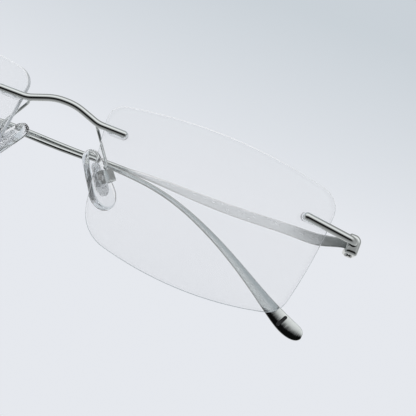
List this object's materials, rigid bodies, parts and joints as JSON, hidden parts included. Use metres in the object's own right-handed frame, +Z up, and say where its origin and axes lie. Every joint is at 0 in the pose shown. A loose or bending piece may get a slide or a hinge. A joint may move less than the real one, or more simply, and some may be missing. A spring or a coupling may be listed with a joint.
{
  "type": "eyeglasses",
  "caption": "Rimless drill-mounted eyeglasses with a polished rod bridge, clear silicone nose pads and thin metal temples folded behind the lenses.",
  "frame": {"origin": "centre of the folded glasses' footprint, on the surface they stand on", "axes": "+X to the wearer's left, -Y out of the lens fronts, +Z up"},
  "size_m": [0.1444, 0.0227, 0.0361],
  "materials": {
    "lens_glass": "clear polished lens with a faint anti-reflection tint",
    "polished_metal": "mirror-polished titanium",
    "satin_metal": "fine satin titanium strip",
    "pad_metal": "cast pad box, bright with darker recesses",
    "screw_steel": "turned stainless steel",
    "clear_plastic": "clear polycarbonate",
    "silicone": "clear soft silicone",
    "tip_inlay": "dark enamel inlay"
  },
  "bodies": {
    "front": {"bridge": "polished_metal", "left_lens": "lens_glass", "left_pad_arm": "polished_metal", "left_end_piece": "polished_metal", "left_pad_box": "pad_metal", "left_pad_screw": "screw_steel", "left_bridge_pins": "polished_metal", "left_bridge_sleeves": "clear_plastic", "left_end_pins": "polished_metal", "left_end_sleeves": "clear_plastic", "left_hinge_washers": "screw_steel", "left_hinge_screw": "screw_steel", "right_lens": "lens_glass", "right_pad_arm": "polished_metal", "right_end_piece": "polished_metal", "right_pad_box": "pad_metal", "right_pad_screw": "screw_steel", "right_bridge_pins": "polished_metal", "right_bridge_sleeves": "clear_plastic", "right_end_pins": "polished_metal", "right_end_sleeves": "clear_plastic", "right_hinge_washers": "screw_steel", "right_hinge_screw": "screw_steel"},
    "left_temple": {"left_temple": "satin_metal", "left_tip_inlay": "tip_inlay"},
    "right_temple": {"right_temple": "satin_metal", "right_tip_inlay": "tip_inlay"},
    "left_pad": {"left_nose_pad": "silicone", "left_pad_core": "clear_plastic"},
    "right_pad": {"right_nose_pad": "silicone", "right_pad_core": "clear_plastic"}
  },
  "joints": [
    {"name": "left_temple_hinge", "type": "hinge", "parent": "front", "child": "left_temple", "pos_m": [0.0707, 0.00215, 0.02476], "axis": [0, 0.014, -0.9999], "range_deg": [0, 87.5]},
    {"name": "right_temple_hinge", "type": "hinge", "parent": "front", "child": "right_temple", "pos_m": [-0.0707, 0.00215, 0.02476], "axis": [0, 0.014, 0.9999], "range_deg": [0, 90.5]},
    {"name": "left_pad_rock", "type": "hinge", "parent": "front", "child": "left_pad", "pos_m": [0.01352, -0.00291, 0.01877], "axis": [0.4121, 0.7954, 0.4444], "range_deg": [-8, 8]},
    {"name": "right_pad_rock", "type": "hinge", "parent": "front", "child": "right_pad", "pos_m": [-0.01352, -0.00291, 0.01877], "axis": [-0.4121, 0.7954, 0.4444], "range_deg": [-8, 8]}
  ],
  "couplings": [
    {"joint": "right_temple_hinge", "follows": "left_temple_hinge", "ratio": 1.0343}
  ]
}
